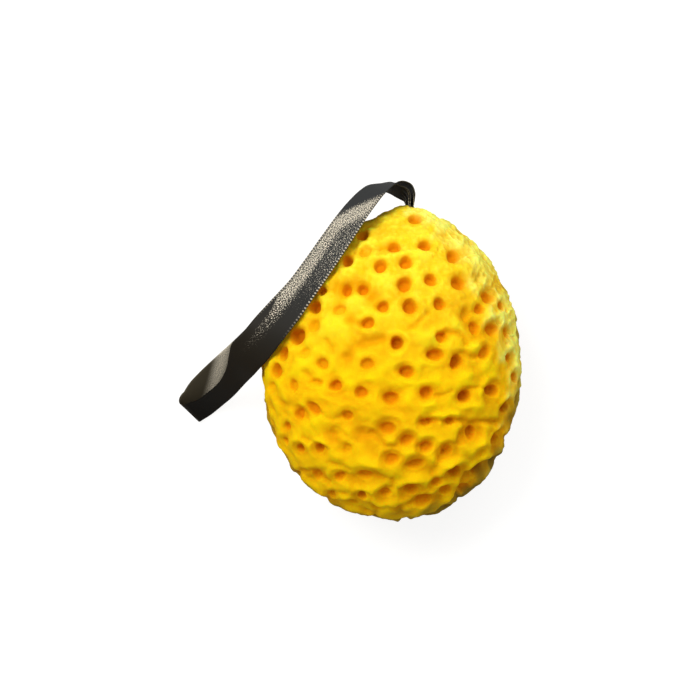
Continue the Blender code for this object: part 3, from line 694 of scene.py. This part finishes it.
def carvePits(points):
    # all pits together: the shift of their cores, the depth of the hollows round them, their rims,
    # then the masks of the painted shade in every pit and of the deeper painted shade in the deep ones
    values = spongeValues
    shift = np.zeros_like(points)
    bowls, rims, pitShade, deepPitShade = np.zeros((4, len(points)))
    pits = placeUpperPits()
    pits += placeOtherPits(pits)
    rng = np.random.default_rng(values["lobeSeed"])
    walls = np.array(values["wall"])
    toLight = values["tintShift"] * np.array(values["toLight"])
    for point, normal, first, second, halfA, halfB, depth in pits:
        rest = points - point
        close = np.abs(rest).max(axis=1) < values["pitReach"]
        near = rest[close]
        a = near @ first / halfA
        b = near @ second / halfB
        angle = np.arctan2(b, a)
        waver = 1.0
        for lobes, height in values["lobes"]:
            waver = waver + height * np.sin(lobes * angle + rng.uniform(0.0, 6.28))
        rho = np.hypot(a, b) * waver
        flank = within("flankFrom", point[0])
        blunt = max(within("bluntFrom", point[1]), values["flankShare"] * flank)
        low, high = (1.0 - blunt) * walls[0] + blunt * walls[1]
        core = (1.0 - smoothStep(low, high, rho)) * np.dot(values["core"], (1.0 - blunt, blunt))
        shift[close] -= normal * (core * depth)[:, None]
        headUp = np.array([-0.35 - 0.4 * flank, 0.9, 0.0])      # up the slope, to the left on the right flank
        tipward = unit(headUp - normal * np.dot(headUp, normal))
        size = math.sqrt(halfA * halfB)
        funnel, ring = tipHollow(rho)
        scoop, ledge = bluntHollow(near @ tipward / size, near @ np.cross(normal, tipward) / size)
        bowl = (1.0 - blunt) * funnel + blunt * scoop
        bowls[close] += (bowl * depth) ** 3
        level = smoothStep(0.05, 0.5, abs(normal[2]))       # no rims along the outline
        rims[close] = np.maximum(rims[close], ((1.0 - blunt) * ring + blunt * ledge) * depth * level)
        # painted shade in the pit, its middle moved towards the light so that it lies over the wall turned
        # away from it
        tint = np.hypot(a - np.dot(first, toLight), b - np.dot(second, toLight)) * waver
        tint = 1.0 - within("tintEdge", tint)
        pitShade[close] = np.maximum(pitShade[close], tint * within("tintDepth", depth))
        deepPitShade[close] = np.maximum(deepPitShade[close], tint * within("deepDepth", depth))
    return shift, np.cbrt(bowls), rims, pitShade, deepPitShade


def edgeShade(points, spots, normals, tip):
    # painted shade of the lower edge, strongest at the lower right, and a thin painted brown shade along the
    # edge left of the tip
    values = spongeValues
    steep = normals[:, 2] + noiseOf("shadeWaver", points) + noiseOf("shadeSway", points)
    lowRight = (0.62 * spots[:, 0] - 0.78 * spots[:, 1]) / np.maximum(np.hypot(*spots.T), 1.0)
    strength, way, above, below = values["shadeRight"]
    shade = strength * smoothStep(*way, lowRight) * smoothStep(*above, steep)
    shade *= 0.30 + 0.70 * smoothStep(*below, steep)
    strength, way, above, below = values["shadeBelow"]
    band = strength * smoothStep(*way, lowRight) * smoothStep(*above, steep) * smoothStep(*below, steep)
    shade = np.maximum(shade, band)
    strength, lessAtTip, above, below = values["shadeRound"]
    band = (strength - lessAtTip * tip) * smoothStep(*above, steep) * smoothStep(*below, steep)
    shade = np.maximum(shade, band)
    brown = alongLine(spots, brownShadeEdge, values["brownShadeHalf"]) * smoothStep(-0.4, 0.0, steep)
    return np.clip(shade + values["brownShadeShare"] * brown, 0.0, 0.9)


def foamSkin(points):
    # returns the pitted skin and the masks that its colours follow
    values = spongeValues
    normals = eggNormal(points)
    spots = plan(points)
    upper = within("upperSide", normals[:, 2])
    shift, bowls, rims, pitShade, deepPitShade = carvePits(points)

    # hollows, mounds and creases of the tables
    rise = rims - bowls
    for x, y, halfX, halfY, depth in hollows:
        rho = np.hypot((spots[:, 0] - x) / halfX, (spots[:, 1] - y) / halfY)
        rise -= np.exp(-rho ** 2) * depth * upper * values["relief"]
    for line, half, depth in creases:
        rise -= alongLine(spots, line, half) * depth * upper * values["relief"]
    calmer, overX, overY = values["lowLeft"]
    rise *= 1.0 - calmer * smoothStep(*overX, spots[:, 0]) * smoothStep(*overY, spots[:, 1])

    # uneven skin
    edgeY, edgeX = np.array(sheenEdge[::-1]).T
    beyond = spots[:, 0] - np.interp(spots[:, 1], edgeY, edgeX)
    flank = within("flankEdge", beyond + noiseOf("flankWaver", points)) * upper
    tip = within("tipFrom", points[:, 1]) * upper
    calm = 1.0 - 0.8 * pitShade
    level = np.abs(normals[:, 2])
    rise += noiseOf("dents", points * (0.7, 1.0, 1.0)) + noiseOf("dimples", points)
    rise += within("knobsFrom", points[:, 1]) * noiseOf("knobs", points)
    bubbles = np.exp(-(noiseOf("bubbles", points) / values["bubbleWall"]) ** 2) * flank * calm
    rise += values["bubbleHeight"] * bubbles * smoothStep(0.0, 0.3, level)
    everywhere, atTip, onFlank = values["roughHeights"]
    rough = everywhere + atTip * tip + onFlank * flank * smoothStep(0.05, 0.4, level)
    rise += rough * noiseOf("rough", points) * calm
    rise += noiseOf("fine", points) * calm
    x, y, z = points.T
    lumps = np.sin(x * 0.21 + 1.0) * np.sin(y * 0.19 - 0.4) + np.sin(y * 0.27 + z * 0.17)
    lumps = values["lumps"] * lumps + noiseOf("swells", points)
    shift += normals * (rise + lumps)[:, None]

    # masks: painted light and shade over the skin, broken by random specks and olive cracks
    # painted light on the raised skin
    raised = within("raisedFrom", rise)
    # painted shade in the folds
    foldShade = within("foldFrom", -rise)
    specks = within("specksFrom", noiseOf("specks", points) + noiseOf("speckGroups", points))
    cracks = within("cracksFrom", np.abs(noiseOf("cracks", points)) + noiseOf("crackGroups", points))
    # painted highlight at the tip, broken by random specks
    tipHighlight = tip * (0.25 + 0.55 * raised + 0.35 * specks) * (1.0 - foldShade) * (1.0 - 0.6 * pitShade)
    # painted sheen on the right flank
    flankSheen = flank * (0.6 + 0.35 * raised + 0.3 * specks + 0.3 * bubbles)
    flankSheen *= (1.0 - foldShade) * (1.0 - 0.8 * pitShade)
    masks = {
        "pitShade": pitShade,
        "deepPitShade": deepPitShade,
        "foldShade": foldShade,
        # painted light on ridges, stronger towards the tip
        "raised": raised * (0.35 + 0.65 * within("raisedPale", points[:, 1])),
        "tipHighlight": np.clip(tipHighlight, 0.0, 1.0),
        "flankSheen": np.clip(flankSheen, 0.0, 1.0),
        # painted shade in the folds of the right flank, and olive cracks near the tip
        "oliveShadeAndCracks": np.clip(0.55 * flank * foldShade + 0.3 * tip * cracks, 0.0, 1.0) * (1.0 - pitShade),
        "shade": edgeShade(points, spots, normals, tip),
    }
    return points + shift, masks


def foamMaterial():
    values = spongeValues
    look, tree, shader = newMaterial("yellowFoam")
    place = addNode(tree, "ShaderNodeTexCoord")
    grain = addGrain(tree, shader, place.outputs["Object"], values)
    patches = rangeOf(tree, grain.outputs["Mottle"], 0.4, 0.7, 0.0, 0.3)
    skin = mixColours(tree, patches, values["skin"], values["hollow"])
    # the skin's random mottle, then each layer in turn, mostly painted light and shade
    for mask, colour in foamLayers:
        share = addNode(tree, "ShaderNodeAttribute", attribute_name=mask)
        skin = mixColours(tree, share.outputs["Fac"], skin, values[colour])
    joinUp(tree, (skin, shader.inputs["Base Color"]))
    setInputs(shader, {
        "Roughness": values["roughness"],
        "Specular IOR Level": values["shine"],
        "Subsurface Weight": values["softness"],
        "Subsurface Radius": values["softRadius"],
        "Subsurface Scale": values["softDepth"] * mm,
    })
    return look


def makeSponge():
    level = spongeValues["detail"]
    bpy.ops.mesh.primitive_ico_sphere_add(subdivisions=level, radius=1.0)
    blank = bpy.context.object
    points, masks = foamSkin(egg(unit(readPoints(blank.data))))
    points[:, 2] = np.maximum(points[:, 2], 0.0)        # pressed flat where it lies
    writePoints(blank.data, points * mm)
    for name, values in masks.items():
        blank.data.attributes.new(name, "FLOAT", "POINT").data.foreach_set("value", values)
    print("foam skin worked out")
    thin = blank.modifiers.new("thin", "DECIMATE")
    thin.ratio = spongeValues["faces"] / len(blank.data.polygons)
    bpy.context.view_layer.update()
    mesh = bpy.data.meshes.new_from_object(blank.evaluated_get(bpy.context.evaluated_depsgraph_get()))
    bpy.data.objects.remove(blank, do_unlink=True)
    mesh.shade_smooth()
    mesh.materials.clear()
    mesh.materials.append(foamMaterial())
    sponge = bpy.data.objects.new("honeycomb_sponge", mesh)
    bpy.context.scene.collection.objects.link(sponge)
    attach(sponge, "root")
    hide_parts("sponge")
    print("sponge made,", len(mesh.polygons), "faces")


makeSponge()


# ribbon: one satin ribbon from inside the tip, round the loop and back
# each mark on it is a soft step: its start and end in mm, along it or as noted, then its two values

ribbonValues = {
    "width": 15.0,
    "length": 338.0,
    "thickness": 0.28,
    "steps": 18,                # along, between two neighbouring rows of the tables
    "turnSteps": 24,            # round the end of the loop
    "across": 18,
    "reachFar": 4.0,            # how far the end of the loop bulges, on either edge
    "reachNear": 2.8,
    "heldTo": (9.0, 16.0),      # stretch at both ends that the foam gathers
    "pleats": 0.22,             # height of the small folds there
    "pleatTurn": 15.0,          # their phase over the width
    "pleatSlant": 0.35,         # and along each mm

    # colours: the black satin made lighter and darker along its length by painted sheen and shade, and its
    # painted highlights
    # painted sheen: lighter grey where the satin catches the light near the tip
    "colour": (0.034, 0.0355, 0.036, 1.0),
    # less painted sheen further along
    "middle": (0.020, 0.0165, 0.0115, 1.0),
    "lower": (0.0075, 0.0062, 0.0045, 1.0),      # painted shade, darker towards the end of the loop
    "inner": (0.075, 0.062, 0.040, 1.0),         # painted light on the inner face of the loop's end
    "gatheredShade": (0.003, 0.003, 0.0026, 1.0),       # painted shade where both ends meet at the foam
    # colour of every painted glint and highlight on the satin
    "glint": (0.95, 0.86, 0.68, 1.0),
    "middleFrom": (60.0, 120.0),
    "lowerFrom": (132.0, 165.0),
    "innerStart": (168.0, 176.0),
    "innerEnd": (215.0, 235.0, 1.0, 0.0),
    "foldedStart": (19.0, 24.0, 1.0, 0.0),
    "foldedEnd": (290.0, 300.0),
    "roughness": 0.5,
    "shine": 0.06,
    "brushed": 0.4,
    "mottle": 9.0,
    "grain": 0.45,
    "grainStrength": 0.3,
    "grainHeight": 0.1,

    # painted glints of the weave: they start on a slant, fill the whole width at first and then keep to the
    # far half
    "slant": 1.27,
    "glintStart": (46.0, 52.0),
    "glintFull": (57.0, 70.0, 0.78, 0.0),
    "glintFar": (5.0, 9.5, 0.72, 0.0),           # across
    "glintNear": (80.0, 98.0, -1.0, 3.4),        # how far across they keep clear of the first edge
    "glintWeaker": (84.0, 108.0, 1.0, 0.3),
    "glintSparse": (56.0, 96.0, 0.34, 0.0),
    "glintEnd": (92.0, 122.0, 1.0, 0.0),
    "glintGrain": (0.62, 0.74),                  # grain that shows as a glint
    "glintBoost": 0.20,
    "hemGlint": (6.2, 6.8, 1.0, 0.15),           # across, from the middle line

    # painted highlights on the small loops along both edges
    "loopTurn": 4.9,                             # radians in a mm
    "loopHem": (6.6, 6.9),                       # across, from the middle line
    "loopFade": (80.0, 104.0, 0.7, 0.0),

    # one painted highlight band on a slant over the inner face
    "bandSlant": 2.6,
    "bandStart": (200.0, 213.0),
    "bandEnd": (216.0, 230.0, 1.0, 0.1),
    "bandGrain": (0.47, 0.55, 0.4, 1.0),

    # painted highlights on threads where the foam gathers both ends, and a painted highlight along the edge
    # above them
    "threadStart": (9.0, 15.0, 1.0, 0.0),
    "threadEnd": (323.0, 329.0),
    "threadTurn": (1.7, 0.9),                    # radians in a mm, across and along
    "threadWave": (0.55, 0.95, 0.0, 0.7),
    "threadGrain": (0.47, 0.56),
    "threadHem": (6.9, 7.3, 0.0, 0.09),          # across, from the middle line
}

# upper strand from inside the tip to the end of the loop: the far edge, then the near edge
upperStrand = [
    ((7.4, 59.8, 31.4), (8.7, 59.4, 36.4)),
    ((7.4, 64.6, 31.4), (8.7, 64.2, 36.4)),
    ((7.4, 68.1, 31.1), (9.0, 67.8, 36.7)),
    ((7.3, 70.1, 29.9), (9.2, 70.2, 38.3)),
    ((7.1, 72.1, 28.6), (9.1, 72.4, 40.5)),
    ((6.3, 73.9, 28.2), (7.9, 75.3, 41.9)),
    ((4.6, 74.8, 28.4), (5.4, 76.6, 42.8)),
    ((2.9, 75.6, 29.0), (3.2, 76.6, 43.8)),
    ((0.4, 77.4, 30.6), (1.2, 75.5, 45.3)),
    ((-4.2, 76.8, 32.2), (-1.7, 72.8, 46.6)),
    ((-9.2, 75.9, 34.2), (-4.1, 70.4, 47.8)),
    ((-12.5, 73.7, 36.0), (-6.0, 67.9, 49.0)),
    ((-16.2, 70.0, 38.9), (-8.2, 64.6, 51.1)),
    ((-20.9, 64.3, 42.4), (-11.5, 59.4, 53.2)),
    ((-27.4, 55.2, 46.0), (-17.6, 49.9, 56.0)),
    ((-34.0, 45.7, 48.6), (-23.7, 40.5, 58.2)),
    ((-40.4, 37.0, 50.4), (-29.3, 32.3, 59.6)),
    ((-47.1, 29.7, 51.6), (-35.7, 22.9, 59.0)),
    ((-53.5, 22.8, 51.0), (-42.1, 14.5, 56.3)),
    ((-59.0, 16.3, 51.4), (-49.0, 5.9, 47.8)),
    ((-62.7, 12.6, 50.4), (-51.9, 3.1, 43.6)),
    ((-64.0, 8.4, 47.4), (-54.5, 0.4, 39.4)),
    ((-65.7, 2.5, 40.0), (-58.9, -3.5, 28.2)),
    ((-69.3, -3.1, 31.4), (-64.4, -8.9, 18.4)),
    ((-74.7, -7.5, 23.3), (-69.9, -13.3, 10.3)),
    ((-79.3, -10.5, 16.9), (-74.9, -17.1, 4.2)),
    ((-83.0, -11.7, 14.9), (-78.3, -19.2, 2.6)),
]

# under strand, likewise
underStrand = [
    ((5.8, 59.8, 31.4), (7.1, 59.4, 36.4)),
    ((5.8, 64.6, 31.4), (7.1, 64.2, 36.4)),
    ((5.7, 67.8, 31.2), (7.3, 67.8, 36.8)),
    ((5.4, 69.0, 29.4), (7.3, 70.6, 37.6)),
    ((5.3, 69.9, 27.8), (7.0, 72.8, 38.8)),
    ((4.0, 70.7, 27.1), (5.7, 74.4, 39.5)),
    ((1.9, 71.8, 26.5), (3.5, 75.1, 40.1)),
    ((0.0, 72.9, 26.9), (1.3, 75.6, 40.8)),
    ((-2.6, 73.9, 27.9), (-1.0, 73.7, 42.2)),
    ((-6.1, 74.9, 29.8), (-3.0, 71.6, 44.0)),
    ((-11.2, 73.4, 33.4), (-5.0, 69.0, 46.6)),
    ((-15.6, 69.4, 37.3), (-8.3, 64.3, 50.1)),
    ((-20.6, 64.0, 40.8), (-11.7, 59.2, 52.2)),
    ((-27.2, 54.9, 44.5), (-17.6, 49.8, 55.1)),
    ((-33.8, 45.4, 47.3), (-23.9, 40.3, 57.3)),
    ((-40.2, 36.8, 49.1), (-29.4, 32.2, 58.7)),
    ((-46.9, 29.5, 50.2), (-35.8, 22.7, 58.2)),
    ((-53.3, 22.6, 49.2), (-42.4, 14.3, 55.4)),
    ((-59.0, 16.6, 50.2), (-49.9, 6.3, 45.4)),
    ((-65.5, 11.1, 40.4), (-56.6, 1.8, 31.2)),
    ((-72.3, 5.7, 28.6), (-63.4, -4.0, 19.4)),
    ((-78.4, 0.6, 18.4), (-69.1, -9.4, 10.2)),
    ((-82.8, -3.8, 13.2), (-73.7, -13.7, 4.6)),
    ((-85.2, -7.4, 11.4), (-77.3, -16.9, 1.9)),
]


def runThrough(rows, steps):
    # a smooth line through every row, with steps between neighbours
    rows = np.array(rows, dtype=float)
    middle = (rows[:, :3] + rows[:, 3:]) / 2.0
    gap = np.sqrt(np.linalg.norm(np.diff(middle, axis=0), axis=1))
    slope = np.diff(rows, axis=0) / gap[:, None]
    tangent = np.empty_like(rows)
    tangent[0] = slope[0]
    tangent[-1] = slope[-1]
    for i in range(1, len(rows) - 1):
        tangent[i] = (slope[i] * gap[i - 1] + slope[i - 1] * gap[i]) / (gap[i - 1] + gap[i])
    line = []
    for i in range(len(rows) - 1):
        for k in range(steps):
            u = k / steps
            pull = (u ** 3 - 2 * u ** 2 + u) * tangent[i] + (u ** 3 - u ** 2) * tangent[i + 1]
            place = (2 * u ** 3 - 3 * u ** 2 + 1) * rows[i] + (3 * u ** 2 - 2 * u ** 3) * rows[i + 1]
            line.append(place + pull * gap[i])
    line.append(rows[-1])
    return np.array(line)


def ribbonEdges():
    # both edges of the whole ribbon: upper strand, the turn at the end of the loop, under strand
    upper = runThrough([far + near for far, near in upperStrand], ribbonValues["steps"])
    under = runThrough([far + near for far, near in underStrand], ribbonValues["steps"])[::-1]
    leaving = unit((upper[-1] - upper[-2])[:3] + (upper[-1] - upper[-2])[3:])
    coming = unit((under[0] - under[1])[:3] + (under[0] - under[1])[3:])
    outward = unit(leaving + coming)
    middle = (upper[-1] + under[0]) / 2.0
    half = (upper[-1] - under[0]) / 2.0
    reach = np.concatenate([outward * ribbonValues["reachFar"], outward * ribbonValues["reachNear"]])
    turn = []
    for k in range(1, ribbonValues["turnSteps"]):
        angle = math.pi * k / ribbonValues["turnSteps"]
        turn.append(middle + half * math.cos(angle) + reach * math.sin(angle))
    rows = np.vstack([upper, np.array(turn), under])
    return rows[:, :3], rows[:, 3:]


def mark(tree, value, name):
    return rangeOf(tree, value, *ribbonValues[name])


def product(tree, *factors):
    total = factors[0]
    for factor in factors[1:]:
        total = mathStep(tree, "MULTIPLY", total, factor)
    return total


def largest(tree, *shares):
    most = shares[0]
    for share in shares[1:]:
        most = mathStep(tree, "MAXIMUM", most, share)
    return most


# painted glints of the weave
def paintedGlints(tree, along, aside, begun, slanted, grain):
    full = mark(tree, slanted, "glintFull")
    sparse = mark(tree, along, "glintSparse")
    clear = mathStep(tree, "SUBTRACT", aside, mark(tree, along, "glintNear"))
    farHalf = product(
        tree,
        mark(tree, aside, "glintFar"),
        rangeOf(tree, clear, -0.6, 0.6),
        mark(tree, along, "glintWeaker"),
    )
    strength = product(tree, largest(tree, full, farHalf, sparse), begun, mark(tree, along, "glintEnd"))
    level = mathStep(tree, "MULTIPLY_ADD", strength, ribbonValues["glintBoost"], grain)
    return product(tree, mark(tree, level, "glintGrain"), rangeOf(tree, strength, 0.0, 0.15))


# painted highlights on the small loops along both edges
def loopHighlights(tree, along, fromMiddle, begun):
    turn = mathStep(tree, "MULTIPLY", along, ribbonValues["loopTurn"])
    loops = rangeOf(tree, mathStep(tree, "SINE", turn), 0.0, 0.9)
    return product(tree, loops, mark(tree, fromMiddle, "loopHem"), begun, mark(tree, along, "loopFade"))


# painted highlight band on the inner face of the loop's end
def innerHighlight(tree, along, aside, turned, grain):
    slanted = mathStep(tree, "MULTIPLY_ADD", aside, ribbonValues["bandSlant"], along)
    rising, falling = mark(tree, slanted, "bandStart"), mark(tree, slanted, "bandEnd")
    return product(tree, rising, falling, turned, mark(tree, grain, "bandGrain"))


# painted highlights on the gathered threads and along the edge above them
def threadHighlights(tree, along, aside, fromMiddle, gathered, grain):
    ends = largest(tree, mark(tree, along, "threadStart"), mark(tree, along, "threadEnd"))
    turnAcross, turnAlong = ribbonValues["threadTurn"]
    turn = mathStep(tree, "MULTIPLY", along, turnAlong)
    turn = mathStep(tree, "MULTIPLY_ADD", aside, turnAcross, turn)
    threads = mark(tree, mathStep(tree, "SINE", turn), "threadWave")
    threads = product(tree, threads, ends, mark(tree, grain, "threadGrain"))
    return largest(tree, threads, product(tree, gathered, mark(tree, fromMiddle, "threadHem")))


def satinMaterial():
    values = ribbonValues
    look, tree, shader = newMaterial("blackSatin")
    cloth = addNode(tree, "ShaderNodeUVMap", uv_map="UVMap")
    stretch = addNode(tree, "ShaderNodeVectorMath", operation="MULTIPLY")
    stretch.inputs[1].default_value = (values["length"], values["width"], 1.0)
    apart = addNode(tree, "ShaderNodeSeparateXYZ")
    weave = addNode(tree, "ShaderNodeTangent", direction_type="UV_MAP", uv_map="UVMap")
    joinUp(
        tree,
        (cloth.outputs["UV"], stretch.inputs[0]),
        (stretch.outputs["Vector"], apart.inputs["Vector"]),
        (weave.outputs["Tangent"], shader.inputs["Tangent"]),
    )
    grain = addGrain(tree, shader, stretch.outputs["Vector"], values).outputs["Grain"]
    along, aside = apart.outputs["X"], apart.outputs["Y"]
    offMiddle = mathStep(tree, "SUBTRACT", aside, values["width"] / 2.0)
    fromMiddle = mathStep(tree, "ABSOLUTE", offMiddle)
    slanted = mathStep(tree, "MULTIPLY_ADD", aside, values["slant"], along)
    begun = mark(tree, slanted, "glintStart")
    turned = product(tree, mark(tree, along, "innerStart"), mark(tree, along, "innerEnd"))
    gathered = largest(tree, mark(tree, along, "foldedStart"), mark(tree, along, "foldedEnd"))
    # the cloth's colours: painted sheen near the tip, painted shade down the loop, painted light on the inner
    # face, painted shade where the foam gathers it; then the painted glints and highlights on it
    base = mixColours(tree, mark(tree, along, "middleFrom"), values["colour"], values["middle"])
    base = mixColours(tree, mark(tree, along, "lowerFrom"), base, values["lower"])
    # painted light on the inner face of the loop's end
    base = mixColours(tree, turned, base, values["inner"])
    # painted shade where the foam gathers both ends
    base = mixColours(tree, gathered, base, values["gatheredShade"])
    glints = paintedGlints(tree, along, aside, begun, slanted, grain)
    share = largest(
        tree,
        product(tree, glints, mark(tree, fromMiddle, "hemGlint")),
        loopHighlights(tree, along, fromMiddle, begun),
        innerHighlight(tree, along, aside, turned, grain),
        threadHighlights(tree, along, aside, fromMiddle, gathered, grain),
    )
    joinUp(tree, (mixColours(tree, share, base, values["glint"]), shader.inputs["Base Color"]))
    setInputs(shader, {
        "Roughness": values["roughness"],
        "Specular IOR Level": values["shine"],
        "Anisotropic": values["brushed"],
    })
    return look


def makeRibbon():
    far, near = ribbonEdges()
    along = len(far) - 1
    bpy.ops.mesh.primitive_grid_add(
        x_subdivisions=along, y_subdivisions=ribbonValues["across"], size=2.0, calc_uvs=True
    )
    ribbon = bpy.context.object
    ribbon.name = "satin_ribbon"
    grid = readPoints(ribbon.data)
    station = np.rint((grid[:, 0] + 1.0) / 2.0 * along).astype(int)
    share = (grid[:, 1] + 1.0) / 2.0
    points = far[station] * (1.0 - share[:, None]) + near[station] * share[:, None]
    middle = (far + near) / 2.0
    run = np.concatenate([[0.0], np.cumsum(np.linalg.norm(np.diff(middle, axis=0), axis=1))])
    print("ribbon's path", round(run[-1], 1), "mm")
    # small folds across the width where the foam gathers it
    held = 1.0 - smoothStep(*ribbonValues["heldTo"], np.minimum(run, run[-1] - run))
    ahead = unit(np.gradient(middle, axis=0))
    face = unit(np.cross(ahead, unit(near - far)))
    phase = share * ribbonValues["pleatTurn"] + ribbonValues["pleatSlant"] * run[station]
    fold = np.sin(phase) * held[station] * ribbonValues["pleats"]
    writePoints(ribbon.data, (points + face[station] * fold[:, None]) * mm)
    layer = ribbon.data.uv_layers.active.data
    corners = np.empty(len(ribbon.data.loops), dtype=int)
    ribbon.data.loops.foreach_get("vertex_index", corners)
    layer.foreach_set("uv", np.stack([run[station] / run[-1], share], axis=1)[corners].ravel())
    body = ribbon.modifiers.new("thickness", "SOLIDIFY")
    body.thickness = ribbonValues["thickness"] * mm
    body.offset = 0.0
    ribbon.data.shade_smooth()
    ribbon.data.materials.append(satinMaterial())
    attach(ribbon, "root")
    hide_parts("ribbon_loop")
    print("ribbon laid")


makeRibbon()
